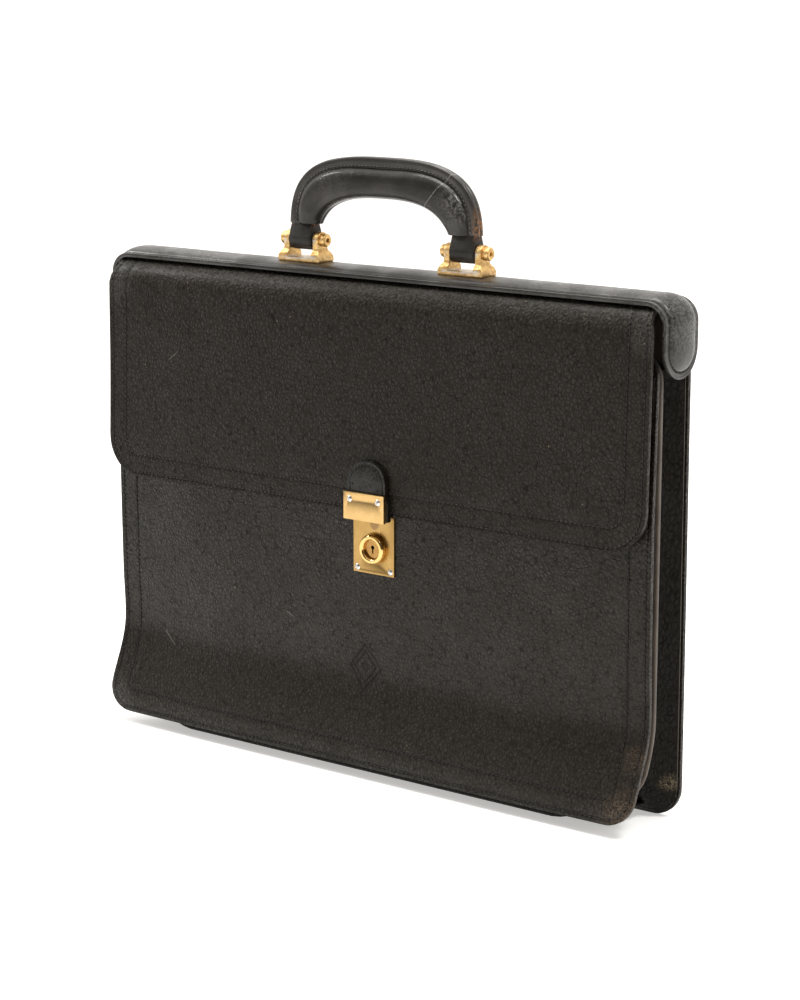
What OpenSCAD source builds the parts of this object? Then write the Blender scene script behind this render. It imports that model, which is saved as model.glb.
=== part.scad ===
// Leather flap briefcase with a rigid top bar, a swinging handle and a keyed push lock.
// Frame: X across the width, -Y towards the flap, +Z up, origin on the floor under the middle of
// the footprint. Depths below are counted from the bar's centre line, and placed() moves them.

/* [Bag] */
// Width of the front, divider and back panels
bag_w = 400; // [380:5:420]
// Height of the top of the padded bar above the floor
bar_top_z = 306.6; // [298.6:1:318.6]
// Height of the top edge of the front panel
front_top_z = 275.6; // [271.6:1:277.6]
// Height of the front panel's lower edge above the floor
front_bottom_z = 7.6; // [0:0.2:10]
// Radius of the panels' bottom corners
panel_corner_r = 18; // [10:1:24]

/* [Front panel] */
// How far the front face stands before the bar's centre line, at half height
front_y = 22; // [21:0.5:23]
// How far the front panel flares forward at its foot
front_flare = 14; // [8:1:16]
// Height at which the flare starts
flare_z = 65.6; // [53.6:1:83.6]
// How far the front panel leans back between half height and its top edge
front_lean = 2.5; // [1.5:0.5:3]

/* [Flap] */
// Height of the flap's lower edge
flap_bottom_z = 163; // [158.6:0.2:163.6]
// Thickness of the leather, board and lining of the flap together
flap_t = 3.8; // [3:0.2:4]
// Radius of the flap's lower corners
flap_corner_r = 25; // [15:1:35]

/* [Bar] */
// Depth of the bar, front to back
bar_depth = 34.8; // [32:0.2:36]
// Height of the padded crown over the stitched rim
crown_h = 3.2; // [2:0.2:4]
// How far the ears hang below the top of the bar
ear_drop = 47; // [40:1:52]

/* [Handle] */
// Distance between the two handle brackets, centre to centre
bracket_pitch = 120; // [110:2:130]
// Height of the handle above the pivot bolts
handle_h = 51.6; // [46:0.2:58]
// Outer width of the handle
handle_w = 140; // [136:1:144]

/* [Lock] */
// Sideways position of the lock from the middle
lock_x = 10; // [-10:1:10]

/* [Hidden] */
$fn = 64;

leather_t = 1.6;
board_t = 1.2;
lining_t = 0.8;
panel_t = leather_t + board_t + lining_t;
board_inset = 3;
panel_top_r = 12;

half_w = bag_w / 2;
big = 600;

// bar
bar_half = bar_depth / 2;
rim_t = 2.5;
rim_w = 3.9;
rim_top_z = bar_top_z - crown_h;
rim_bottom_z = rim_top_z - rim_t;
bar_turn_r = 13;
turn_x = half_w + 5 - bar_turn_r;
turn_z = rim_top_z - bar_turn_r;
ear_bottom_z = bar_top_z - ear_drop;
crown_half = bar_half - rim_w;
crown_r = (crown_half * crown_half + crown_h * crown_h) / (2 * crown_h);
core_t = 4.3;
core_half_y = 13.4;
core_half_x = 188;
core_bottom_z = rim_bottom_z - core_t;
tail_t = 1.6;

// flap hinge line, on the flap's outer face just below the rim
hinge_y = -(bar_half + 0.5);
hinge_z = rim_top_z - 12.2;
shoulder_y = -25.3;
shoulder_r = (hinge_y - shoulder_y) / (1 - cos(45));
shoulder_z = hinge_z - shoulder_r * sin(45);
flap_slope = 0.0308;
flap_half_w = half_w + 0.7;

// height above which the front panel leans back, clear of the lock
lean_z = 177.6;

// divider, back and gussets
divider_y = -12.4;
divider_flare = 14;
divider_bottom_z = 19.6;
divider_drop = 4;
divider_half_w = half_w - 1;
back_foot_y = 20.8;
back_top_y = 19.2;
gusset_t = 1;
gusset_x = half_w - 1.5;
gusset_floor_z = 11.6;
gusset_floor_inset = 16;
bottom_half_x = half_w - 18;
bottom_front_y = -22.6;
bottom_back_y = 16.8;
bottom_leather_t = 1.2;
frame_y = (front_y + front_flare - back_foot_y) / 2;

// handle and brackets
pin_z = bar_top_z + 13;
pin_r = 2;
pin_gap = 0.05;
bracket_base_z = bar_top_z - 1.1;
bracket_half_x = 15.9;
bracket_half_y = 7.1;
bracket_floor_z = bracket_base_z + 3.3;
ear_inner_x = 9.1;
ear_outer_x = 13.1;
eye_half_x = 8.5;
eye_r = 6.4;
bush_r = 3.2;
handle_power = 3.1;
handle_inner_w = 98;
handle_inner_h = 27.3;
handle_inner_power = 2.6;
flange_w = 6.4;
flange_half_t = 3.1;
pad_half_t = 7.5;
pad_bottom_z = pin_z + 9.5;

// lock
plate_face_y = -(front_y + 2);
plate_half_x = 15.2;
plate_bottom_z = 125.4;
plate_top_z = 176.6;
ring_z = 140.9;
ring_r = 9;
ring_front_y = plate_face_y - 3.5;
ring_bore_r = 5.8;
sleeve_r = 7;
button_r = 5.75;
button_face_y = plate_face_y - 0.9;
button_back_y = button_face_y + 6.7;
plug_r = 3.4;
case_front_y = -(front_y - leather_t) + 0.1;
case_back_y = -14.9;
case_wall = 0.5;
case_half_x = 13;
case_bottom_z = 130.1;
case_top_z = 174.6;
slot_half_x = 3.2;
slot_bottom_z = 164.2;
slot_top_z = 173.2;
leaf_y = -16.4;

// hasp
hasp_half_x = 15;
hasp_bottom_z = 159.6;
hasp_top_z = 176.2;
hasp_back_y = -31.7;
hasp_t = 2.2;
hasp_screw_z = 172;
hasp_screw_dx = 10.5;
tab_half_x = 14.2;
tab_top_z = 195.2;
hasp_screw_hole_r = 1.1;

// catch, inside the flap, with its tongue through the plate into the lock
catch_plate_y = -26.6;
catch_plate_t = 1.2;
catch_half_x = 13.8;
catch_bottom_z = 161.2;
catch_top_z = 176;
tongue_half_x = 2.5;
tongue_tip_y = -17.2;
tongue_bottom_z = 165.6;
tongue_h = 5;

black = [0.13, 0.125, 0.12];
soft_black = [0.17, 0.165, 0.16];
suede = [0.24, 0.2, 0.16];
board_grey = [0.45, 0.42, 0.38];
brass_gold = [0.83, 0.66, 0.36];
steel = [0.72, 0.72, 0.7];

// A smooth step from 0 to 1
function ease(t) = t <= 0 ? 0 : (t >= 1 ? 1 : (1 - cos(180 * t)) / 2);

// Points along an arc, from angle a0 to a1
function arc(cx, cy, r, a0, a1, n) =
    [for (i = [0 : n]) let (a = a0 + (a1 - a0) * i / n) [cx + r * cos(a), cy + r * sin(a)]];

// Points along the upper half of a superellipse, from its right end to its left end
function arch(a, b, power, n) =
    [for (i = [0 : n]) let (t = 180 * i / n)
        [a * sign(cos(t)) * pow(abs(cos(t)), 2 / power), b * pow(sin(t), 2 / power)]];

function reversed(list) = [for (i = [len(list) - 1 : -1 : 0]) list[i]];

// Heights at which a panel's profile is drawn: close together over the flare, then the lean.
// Every layer of a panel is drawn at the same heights, so that the layers meet face to face.
function heights(z0, z1) = concat(
    [for (i = [0 : 12]) z0 + (flare_z - z0) * i / 12], [lean_z], [z1]);

// Outer faces of the panels and the flap, as y at height z
function flare(z) = ease((flare_z - z) / (flare_z - front_bottom_z));
function front_face(z) = -front_y - front_flare * flare(z)
    + front_lean * max(0, z - lean_z) / (front_top_z - lean_z);
function divider_face(z) = divider_y - divider_flare * flare(z);
function flap_face(z) = shoulder_y - (shoulder_z - z) * flap_slope;
function back_face(z) = back_foot_y + (back_top_y - back_foot_y) * z / rim_bottom_z;

// Sweeps a side profile, drawn as [y, z], across the width
module across(half) {
    rotate([90, 0, 90]) translate([0, 0, -half]) linear_extrude(2 * half) children();
}

// Carries a front outline, drawn as [x, z], through the depth
module through(y0, y1) {
    translate([0, y1, 0]) rotate([90, 0, 0]) linear_extrude(y1 - y0) children();
}

// A cylinder along Y, and one along X
module y_rod(r, y0, y1, x, z) {
    translate([x, y1, z]) rotate([90, 0, 0]) cylinder(r = r, h = y1 - y0);
}
module x_rod(r, x0, x1, z, sides = 64) {
    translate([x0, 0, z]) rotate([0, 90, 0]) cylinder(r = r, h = x1 - x0, $fn = sides);
}

// Moves a piece from the bar's centre line to the middle of the footprint
module placed() { translate([0, frame_y, 0]) children(); }

module box(x0, x1, y0, y1, z0, z1) {
    translate([x0, y0, z0]) cube([x1 - x0, y1 - y0, z1 - z0]);
}

// A front outline with round corners: r0 at the bottom, r1 at the top
module outline(half, z0, z1, r0, r1) {
    polygon(concat(
        arc(half - r0, z0 + r0, r0, -90, 0, 10), arc(half - r1, z1 - r1, r1, 0, 90, 8),
        arc(-half + r1, z1 - r1, r1, 90, 180, 8), arc(-half + r0, z0 + r0, r0, 180, 270, 10)));
}

// One layer of the front panel, between two depths behind its face
module front_layer(depth0, depth1, inset) {
    zs = heights(front_bottom_z, front_top_z);
    intersection() {
        across(half_w) polygon(concat(
            [for (z = zs) [front_face(z) + depth0, z]],
            [for (z = reversed(zs)) [front_face(z) + depth1, z]]));
        through(-80, 0) outline(half_w - inset, front_bottom_z + inset, front_top_z - inset,
            panel_corner_r - inset, panel_top_r - inset);
    }
}

module divider_layer(depth0, depth1, inset) {
    z1 = front_top_z - divider_drop;
    zs = heights(divider_bottom_z, z1);
    intersection() {
        across(half_w) polygon(concat(
            [for (z = zs) [divider_face(z) + depth0, z]],
            [for (z = reversed(zs)) [divider_face(z) + depth1, z]]));
        through(-80, 0) outline(divider_half_w - inset, divider_bottom_z + inset, z1 - inset,
            panel_corner_r - inset, panel_top_r - inset);
    }
}

module back_layer(depth0, depth1, inset) {
    z1 = rim_bottom_z;
    intersection() {
        across(half_w) polygon([
            [back_face(0) - depth0, 0], [back_face(z1) - depth0, z1],
            [back_face(z1) - depth1, z1], [back_face(0) - depth1, 0]]);
        through(0, 40) outline(half_w - inset, inset, z1 - inset,
            panel_corner_r - inset, panel_top_r - inset);
    }
}

// One layer of the flap, from its hinge line round the shoulder to its lower edge. The shoulder
// is drawn in steps of 5 degrees, and the inner layers start steps later than the leather.
module flap_layer(depth0, depth1, inset, first_step) {
    cy = shoulder_y + shoulder_r;
    z0 = hasp_bottom_z + 0.4;
    start = 135 + 5 * first_step;
    steps = 9 - first_step;
    intersection() {
        across(big) polygon(concat(
            arc(cy, shoulder_z, shoulder_r - depth0, start, 180, steps),
            [[flap_face(z0) + depth0, z0], [flap_face(z0) + depth1, z0]],
            reversed(arc(cy, shoulder_z, shoulder_r - depth1, start, 180, steps))));
        through(-80, 0) union() {
            outline(flap_half_w - inset, flap_bottom_z + inset, bar_top_z, flap_corner_r - inset, 2);
            translate([lock_x - tab_half_x, z0 + inset]) square([2 * tab_half_x, flap_corner_r]);
        }
    }
}

// Back of the bag, fixed to the bar

module back_panel() { color(black) placed() back_layer(0, leather_t, 0); }

module back_board() { color(board_grey) placed() back_layer(leather_t, leather_t + board_t, board_inset); }

module back_lining() { color(suede) placed() back_layer(leather_t + board_t, panel_t, 1); }

module bar_core() {
    color(steel) placed() difference() {
        box(-core_half_x, core_half_x, -core_half_y, core_half_y, core_bottom_z, rim_bottom_z);
        screw_holes(1.55);
    }
}

// The cover's section, from its inner face outwards: flat rims with a padded crown between them
module cover_section() {
    crown_a = asin(crown_half / crown_r);
    polygon(concat(
        [[-rim_t, bar_half], [-rim_t, -bar_half], [0, -bar_half]],
        arc(crown_h - crown_r, 0, crown_r, -crown_a, crown_a, 12),
        [[0, bar_half]]));
}

// Covers the top of the bar, turns down at both ends and hangs as an ear with a round foot
module bar_cover() {
    color(soft_black) placed() difference() {
        union() {
            translate([-turn_x, 0, rim_top_z]) rotate([0, -90, 180])
                linear_extrude(2 * turn_x) cover_section();
            for (side = [-1, 1]) intersection() {
                union() {
                    translate([side * turn_x, 0, turn_z]) rotate([90, 0, 0]) rotate_turn(side);
                    translate([side * (turn_x + bar_turn_r), 0, ear_bottom_z])
                        mirror([side < 0 ? 1 : 0, 0, 0])
                        linear_extrude(turn_z - ear_bottom_z) cover_section();
                }
                ear_shape();
            }
        }
        for (side = [-1, 1]) translate([side * bracket_pitch / 2, 0, 0])
            box(-bracket_half_x, bracket_half_x, -bracket_half_y, bracket_half_y, bracket_base_z, big);
        screw_holes(1.6);
    }
}

// A quarter turn of the cover's section, about an axis along Y
module rotate_turn(side) {
    start = side > 0 ? 0 : 90;
    rotate([0, 0, start]) rotate_extrude(angle = 90) translate([bar_turn_r, 0]) cover_section();
}

// Side outline of the ear, drawn as [y, z] and carried across the width
module ear_shape() {
    across(big) polygon(concat(
        [[bar_half, big], [-bar_half, big]],
        arc(0, ear_bottom_z + bar_half, bar_half, 180, 360, 24)));
}

// The flap's own leather, carried on under the bar and screwed to it
module flap_tail() {
    end_y = hinge_y + 0.3;
    end_z = hinge_z + 0.3;
    drop = flap_t * sin(45);
    color(black) placed() difference() {
        across(core_half_x) polygon([
            [core_half_y, core_bottom_z - tail_t], [core_half_y, core_bottom_z],
            [-core_half_y, core_bottom_z], [end_y, end_z], [end_y + drop, end_z - drop],
            [-core_half_y + 3, core_bottom_z - tail_t]]);
        screw_holes(1.6);
    }
}

module bracket_places() {
    for (side = [-1, 1]) translate([side * bracket_pitch / 2, 0, 0]) children();
}
module bracket_screw_places() {
    bracket_places() for (dx = [-5, 5]) translate([dx, 0, 0]) children();
}
module screw_holes(r) { bracket_screw_places() cylinder(r = r, h = big); }

// Front outline of a bracket: a floor with two ears that thicken towards their feet
module bracket_front() {
    top = pin_z + 6;
    side_points = concat(
        arc(bracket_half_x - 2, bracket_base_z + 2, 2, -90, 0, 5),
        [[bracket_half_x, bracket_base_z + 3.6]],
        arc(ear_outer_x + 3.4, bracket_base_z + 9.4, 3.4, 225, 180, 5),
        [[ear_outer_x, top], [ear_inner_x, top], [ear_inner_x, bracket_floor_z]]);
    polygon(concat(side_points, reversed([for (p = side_points) [-p[0], p[1]]])));
}

// Side outline of a bracket's ear, drawn as [y, z]: wide foot, waist, round head
module bracket_side() {
    head = 4.9;
    side_points = concat(
        arc(bracket_half_y - 1.5, bracket_base_z + 1.5, 1.5, -90, 0, 5),
        arc(bracket_half_y - 2.6, bracket_base_z + 4.4, 2.6, 0, 60, 5),
        arc(head + 2.3, pin_z - 5.2, 2.6, 225, 180, 4),
        arc(0, pin_z, head, 0, 90, 10));
    polygon(concat(side_points, reversed([for (p = side_points) [-p[0], p[1]]])));
}

module handle_brackets() {
    color(brass_gold) placed() bracket_places() difference() {
        intersection() {
            through(-bracket_half_y, bracket_half_y) bracket_front();
            across(bracket_half_x) bracket_side();
        }
        x_rod(pin_r + pin_gap, -big, big, pin_z);
        for (dx = [-5, 5]) translate([dx, 0, bracket_base_z - 1]) cylinder(r = 1.5, h = 3.6);
    }
}

module bracket_screws() {
    head_h = 1.6;
    thread_depth = 2.4;
    head_z = core_bottom_z - tail_t - head_h;
    color(steel) placed() bracket_screw_places() translate([0, 0, head_z]) {
        cylinder(r = 2.7, h = head_h);
        cylinder(r = 1.45, h = bracket_base_z + thread_depth - head_z);
    }
}

module pivot_bolts() {
    head_x = 17.1;
    color(brass_gold) placed() bracket_places() difference() {
        union() {
            x_rod(pin_r, -ear_outer_x - 2, ear_outer_x + 1, pin_z);
            x_rod(3.9, ear_outer_x, head_x - 0.6, pin_z);
            translate([head_x - 0.6, 0, pin_z]) rotate([0, 90, 0]) cylinder(r1 = 3.9, r2 = 3.3, h = 0.6);
        }
        x_rod(1.6, head_x - 2.2, head_x + 1, pin_z, 6);
    }
}

module pivot_caps() {
    color(brass_gold) placed() bracket_places() difference() {
        union() {
            x_rod(3.9, -ear_outer_x - 3.2, -ear_outer_x, pin_z);
            translate([-ear_outer_x - 4, 0, pin_z]) rotate([0, 90, 0])
                cylinder(r1 = 3.2, r2 = 3.9, h = 0.8);
        }
        x_rod(pin_r + pin_gap, -ear_outer_x - 2.05, 0, pin_z);
    }
}

// Handle, swinging on the pivot bolts

// The arch between an outer and an inner curve, drawn as [x, z] above the bolts
module arch_band(outer_w, outer_h, bottom_z) {
    difference() {
        translate([0, pin_z]) polygon(concat(
            arch(outer_w / 2, outer_h, handle_power, 48)));
        translate([0, pin_z]) polygon(concat(
            arch(handle_inner_w / 2, handle_inner_h, handle_inner_power, 40),
            [[-handle_inner_w / 2, -10], [handle_inner_w / 2, -10]]));
        translate([-half_w, 0]) square([bag_w, bottom_z]);
    }
}

module handle_core() {
    color(black) placed() through(-flange_half_t, flange_half_t)
        arch_band(handle_w, handle_h, pad_bottom_z);
}

module handle_pad(y0, y1) {
    through(y0, y1) arch_band(handle_w - 2 * flange_w, handle_h - flange_w, pad_bottom_z);
}

module handle_front_pad() { color(soft_black) placed() handle_pad(-pad_half_t, -flange_half_t); }

module handle_rear_pad() { color(soft_black) placed() handle_pad(flange_half_t, pad_half_t); }

// Leather-wrapped eyes at the foot of each leg
module handle_ends() {
    color(black) placed() bracket_places() difference() {
        union() {
            x_rod(eye_r, -eye_half_x, eye_half_x, pin_z);
            box(-eye_half_x, eye_half_x, -eye_r + 1, eye_r - 1, pin_z, pad_bottom_z);
        }
        x_rod(bush_r, -big, big, pin_z);
    }
}

module handle_bushes() {
    color(brass_gold) placed() bracket_places() difference() {
        x_rod(bush_r, -eye_half_x - 0.3, eye_half_x + 0.3, pin_z);
        x_rod(pin_r + pin_gap, -big, big, pin_z);
    }
}

// Flap, opening on its hinge line under the bar's front rim

module hasp_places() {
    for (dx = [-hasp_screw_dx, hasp_screw_dx]) translate([lock_x + dx, 0, hasp_screw_z]) children();
}

module flap_leather() {
    color(black) placed() difference() {
        flap_layer(0, leather_t, 0, 0);
        hasp_places() y_rod(hasp_screw_hole_r, -60, 0, 0, 0);
    }
}

module flap_board() {
    color(board_grey) placed() difference() {
        flap_layer(leather_t, leather_t + board_t, 2, 1);
        catch_pocket();
    }
}

module flap_lining() {
    color(suede) placed() difference() {
        flap_layer(leather_t + board_t, flap_t, 1, 1);
        catch_pocket();
    }
}

module catch_pocket() {
    box(lock_x - tab_half_x - 0.4, lock_x + tab_half_x + 0.4, -60, 0, hasp_bottom_z - 1, hasp_top_z + 0.8);
}

// Round-topped leather tab that carries the hasp plate
module flap_tab() {
    z0 = hasp_bottom_z + 0.8;
    color(black) placed() difference() {
        intersection() {
            across(big) polygon([
                [hasp_back_y, z0], [flap_face(z0), z0], [flap_face(tab_top_z), tab_top_z],
                [hasp_back_y + 0.6, tab_top_z], [hasp_back_y, hasp_top_z]]);
            through(-80, 0) polygon(concat(
                [[lock_x + tab_half_x, z0]],
                arc(lock_x, tab_top_z - tab_half_x, tab_half_x, 0, 180, 24),
                [[lock_x - tab_half_x, z0]]));
        }
        hasp_places() y_rod(hasp_screw_hole_r, -60, 0, 0, 0);
    }
}

module hasp_plate() {
    color(brass_gold) placed() difference() {
        box(lock_x - hasp_half_x, lock_x + hasp_half_x, hasp_back_y - hasp_t, hasp_back_y,
            hasp_bottom_z, hasp_top_z);
        hasp_places() y_rod(hasp_screw_hole_r, -60, 0, 0, 0);
    }
}

// A round-headed screw along Y, with its head outwards and a cross slot
module dome_screw(face_y, tip_y) {
    head_r = 1.9;
    head_h = 0.8;
    ball_r = (head_r * head_r + head_h * head_h) / (2 * head_h);
    difference() {
        union() {
            intersection() {
                translate([0, face_y - head_h + ball_r, 0]) sphere(r = ball_r);
                y_rod(head_r, face_y - head_h, face_y, 0, 0);
            }
            y_rod(1, face_y - 0.1, tip_y, 0, 0);
        }
        box(-1.2, 1.2, face_y - 2, face_y - 0.4, -0.2, 0.2);
        box(-0.2, 0.2, face_y - 2, face_y - 0.4, -1.2, 1.2);
    }
}

module hasp_screws() {
    color(steel) placed() hasp_places() dome_screw(hasp_back_y - hasp_t, catch_plate_y);
}

// Plate inside the flap with the tongue that enters the lock; the tongue has a notch below
module catch() {
    notch_y = tongue_tip_y - 2.4;
    color(brass_gold) placed() difference() {
        union() {
            box(lock_x - catch_half_x, lock_x + catch_half_x, catch_plate_y,
                catch_plate_y + catch_plate_t, catch_bottom_z, catch_top_z);
            box(lock_x - tongue_half_x, lock_x + tongue_half_x, catch_plate_y, tongue_tip_y,
                tongue_bottom_z, tongue_bottom_z + tongue_h);
        }
        box(lock_x - 3, lock_x + 3, notch_y, notch_y + 1.6, tongue_bottom_z - 1, tongue_bottom_z + 1.6);
    }
}

// Front panel with the lock, tilting forward on its foot

module lock_holes() {
    y_rod(sleeve_r + 0.05, -60, 0, lock_x, ring_z);
    box(lock_x - slot_half_x, lock_x + slot_half_x, -60, 0, slot_bottom_z, slot_top_z);
    for (dx = [-12.3, 12.3]) y_rod(1.05, -60, 0, lock_x + dx, plate_bottom_z + 2.9);
}

module case_pocket() {
    box(lock_x - case_half_x - 0.2, lock_x + case_half_x + 0.2, -60, 0,
        case_bottom_z - 0.2, case_top_z + 0.2);
}

module front_panel() {
    color(black) placed() difference() { front_layer(0, leather_t, 0); lock_holes(); }
}

module front_board() {
    color(board_grey) placed() difference() {
        front_layer(leather_t, leather_t + board_t, board_inset);
        lock_holes();
        case_pocket();
    }
}

module front_lining() {
    color(suede) placed() difference() {
        front_layer(leather_t + board_t, panel_t, 1);
        lock_holes();
        case_pocket();
    }
}

module lock_plate() {
    color(brass_gold) placed() difference() {
        box(lock_x - plate_half_x, lock_x + plate_half_x, plate_face_y, -front_y,
            plate_bottom_z, plate_top_z);
        lock_holes();
        box(lock_x - 20, lock_x + 20, -front_y - 0.6, 0, ring_z + 12.7, big);
    }
}

module lock_screws() {
    color(steel) placed() for (dx = [-12.3, 12.3]) translate([lock_x + dx, 0, plate_bottom_z + 2.9])
        dome_screw(plate_face_y, -front_y + leather_t + board_t);
}

// Raised ring round the button, with a sleeve through the plate and the leather
module lock_ring() {
    color(brass_gold) placed() translate([lock_x, 0, ring_z]) rotate([90, 0, 0]) rotate_extrude() polygon([
        [ring_bore_r, -case_front_y - 1.5], [sleeve_r, -case_front_y - 1.5],
        [sleeve_r, -plate_face_y], [ring_r, -plate_face_y], [ring_r, -ring_front_y - 0.9],
        [ring_r - 0.9, -ring_front_y], [ring_bore_r + 0.9, -ring_front_y],
        [ring_bore_r, -ring_front_y - 0.9]]);
}

module ring_nut() {
    color(brass_gold) placed() difference() {
        y_rod(9.6, case_front_y, case_front_y + 1.5, lock_x, ring_z);
        y_rod(sleeve_r + 0.05, -60, 0, lock_x, ring_z);
    }
}

module lock_case() {
    color(steel) placed() difference() {
        box(lock_x - case_half_x, lock_x + case_half_x, case_front_y, case_back_y,
            case_bottom_z, case_top_z);
        box(lock_x - case_half_x + case_wall, lock_x + case_half_x - case_wall, -60,
            case_back_y - case_wall, case_bottom_z + case_wall, case_top_z - case_wall);
    }
}

// Spring leaf up the back of the case: a post, an arm, and a tooth that sits in the catch's notch
module latch_leaf() {
    leaf_t = 0.4;
    post_x = lock_x - 11.5;
    post_w = 3.5;
    arm_z = 161.6;
    arm_top_z = 165.4;
    tooth_half_x = 2.4;
    tooth_y = -19.4;
    tooth_z = 164.5;
    tooth_t = 1.2;
    color(steel) placed() {
        box(post_x, post_x + post_w, leaf_y, leaf_y + leaf_t, case_bottom_z + 1, arm_top_z);
        box(post_x, lock_x + tooth_half_x, leaf_y, leaf_y + leaf_t, arm_z, arm_top_z);
        box(lock_x - tooth_half_x, lock_x + tooth_half_x, tooth_y, leaf_y, tooth_z, arm_top_z);
        box(lock_x - tooth_half_x, lock_x + tooth_half_x, tooth_y, tooth_y + tooth_t,
            tooth_z, arm_top_z + 1.5);
    }
}

// Thin spring washer between the nut and the button's shoulder
module button_spring() {
    color(steel) placed() difference() {
        y_rod(6.9, button_back_y - 0.45, button_back_y - 0.1, lock_x, ring_z);
        y_rod(button_r + 0.4, -60, 0, lock_x, ring_z);
    }
}

module lock_button() {
    color(brass_gold) placed() difference() {
        y_rod(button_r, button_face_y, button_back_y, lock_x, ring_z);
        y_rod(plug_r + pin_gap, -60, 0, lock_x, ring_z);
    }
}

module key_plug() {
    color(brass_gold) placed() difference() {
        y_rod(plug_r, button_face_y, button_back_y, lock_x, ring_z);
        y_rod(1.25, button_face_y - 1, button_back_y - 1.5, lock_x, ring_z + 1);
        box(lock_x - 0.5, lock_x + 0.5, button_face_y - 1, button_back_y - 1.5, ring_z - 2.7, ring_z + 1);
    }
}

// Lever behind the plug that turns under the ring nut and blocks the button
module key_cam() {
    cam_t = 0.9;
    hub_r = 3.2;
    lever_half_w = 1.6;
    lever_reach = 7.6;
    color(steel) placed() difference() {
        union() {
            y_rod(hub_r, button_back_y, button_back_y + cam_t, lock_x, ring_z);
            box(lock_x - lever_half_w, lock_x + lever_half_w, button_back_y, button_back_y + cam_t,
                ring_z - lever_reach, ring_z);
        }
        y_rod(0.8, -60, 0, lock_x, ring_z);
    }
}

// Divider between the two compartments, tilting on its foot

module divider_facing() { color(suede) placed() divider_layer(0, 0.8, 0); }

module divider_board() { color(board_grey) placed() divider_layer(0.8, 2.2, board_inset); }

module divider_lining() { color(suede) placed() divider_layer(2.2, 3, 0); }

// Gussets: folded side walls and a bottom strip

// A pair of side walls, drawn as [x, y]: folds of leather that point into the bag
module gusset_walls(y0, y1, fold, z0, z1) {
    mid = (y0 + y1) / 2;
    inner_x = gusset_x - gusset_t;
    for (side = [0, 1]) mirror([side, 0, 0]) translate([0, 0, z0]) linear_extrude(z1 - z0) polygon([
        [gusset_x, y0], [gusset_x - fold, mid], [gusset_x, y1],
        [inner_x, y1], [inner_x - fold, mid], [inner_x, y0]]);
}

module front_gusset() {
    floor_x = gusset_x - gusset_floor_inset;
    color(black) placed() {
        gusset_walls(divider_y - 3.5, divider_y - 0.3, 3, flare_z + 8, 258.6);
        box(-floor_x, floor_x, -31.3, -29, gusset_floor_z, gusset_floor_z + gusset_t);
    }
}

module rear_gusset() {
    color(black) placed()
        gusset_walls(divider_y + 6.2, back_top_y - panel_t - 0.2, 11, panel_corner_r, 253.6);
}

// Bottom of the rear compartment, on which the bag stands, fixed to the back
module bottom_layer(z0, z1) {
    box(-bottom_half_x, bottom_half_x, bottom_front_y, bottom_back_y, z0, z1);
}

module bottom_leather() { color(black) placed() bottom_layer(0, bottom_leather_t); }

module bottom_board() {
    color(board_grey) placed() bottom_layer(bottom_leather_t, bottom_leather_t + board_t);
}

back_panel();
back_board();
back_lining();
bottom_leather();
bottom_board();
bar_core();
bar_cover();
flap_tail();
handle_brackets();
bracket_screws();
pivot_bolts();
pivot_caps();
handle_core();
handle_front_pad();
handle_rear_pad();
handle_ends();
handle_bushes();
flap_leather();
flap_board();
flap_lining();
flap_tab();
hasp_plate();
hasp_screws();
catch();
front_panel();
front_board();
front_lining();
lock_plate();
lock_screws();
lock_ring();
ring_nut();
lock_case();
latch_leaf();
button_spring();
lock_button();
key_plug();
key_cam();
divider_facing();
divider_board();
divider_lining();
front_gusset();
rear_gusset();
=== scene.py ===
import math
from contextlib import contextmanager

import bpy
import numpy as np
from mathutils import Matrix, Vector


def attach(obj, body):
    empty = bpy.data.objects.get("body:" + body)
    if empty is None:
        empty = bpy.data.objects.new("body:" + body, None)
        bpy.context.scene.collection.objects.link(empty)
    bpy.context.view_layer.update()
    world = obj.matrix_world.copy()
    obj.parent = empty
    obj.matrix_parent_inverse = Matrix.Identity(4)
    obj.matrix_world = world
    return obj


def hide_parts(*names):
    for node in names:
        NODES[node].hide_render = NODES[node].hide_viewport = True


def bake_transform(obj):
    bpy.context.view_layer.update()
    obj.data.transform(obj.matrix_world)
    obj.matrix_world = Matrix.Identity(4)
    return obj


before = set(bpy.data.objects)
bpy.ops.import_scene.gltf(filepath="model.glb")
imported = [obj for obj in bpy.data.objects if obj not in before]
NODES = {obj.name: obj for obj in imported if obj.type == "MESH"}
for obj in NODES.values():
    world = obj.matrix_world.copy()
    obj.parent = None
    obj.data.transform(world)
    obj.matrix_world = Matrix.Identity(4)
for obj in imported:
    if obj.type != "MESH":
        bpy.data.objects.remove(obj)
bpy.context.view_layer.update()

MM = 0.001

# Lines of the bag, in millimetres: x to the right, y to the back, z up, from the middle of the floor
PANEL_HALF, PANEL_CORNER, PANEL_TOP_CORNER = 200, 18, 12
FRONT_TOP, FRONT_FOOT, FLARE_TOP, FLARE_OUT, LEAN_FROM = 275.6, 7.6, 65.6, 14.0, 177.6
FRONT_Y, DIVIDER_Y, BACK_Y, BACK_TOP = -14.4, -4.8, 28.4, 300.6
SHOULDER_R, SHOULDER_Y, SHOULDER_Z, SHOULDER_END, FLAP_LEAN = 18.0, 0.5, 283.5, -6.2, 0.0308
FLAP_HALF, FLAP_EDGE, FLAP_CORNER = 200.7, 163.0, 25.0
EDGE_SEAM, BORDER_SEAM = 3.0, 14.2      # the two rows of stitches, in from a sheet's edge
LINING_IN, LINING_DEEP = 1.4, 2.85      # a lining, in from the edge and behind the face
BAR_Y, BAR_HALF, RIM_Z, TURN_X, TURN_Z, TURN_R, EAR_FOOT = 7.6, 17.4, 303.4, 192.0, 290.4, 13.0, 259.6
PIVOT_Z, PIVOT_X = 319.6, 60.0
STRAP_WIDE, STRAP_R = 17.0, 6.4
LOCK_X = 10.0

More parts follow.
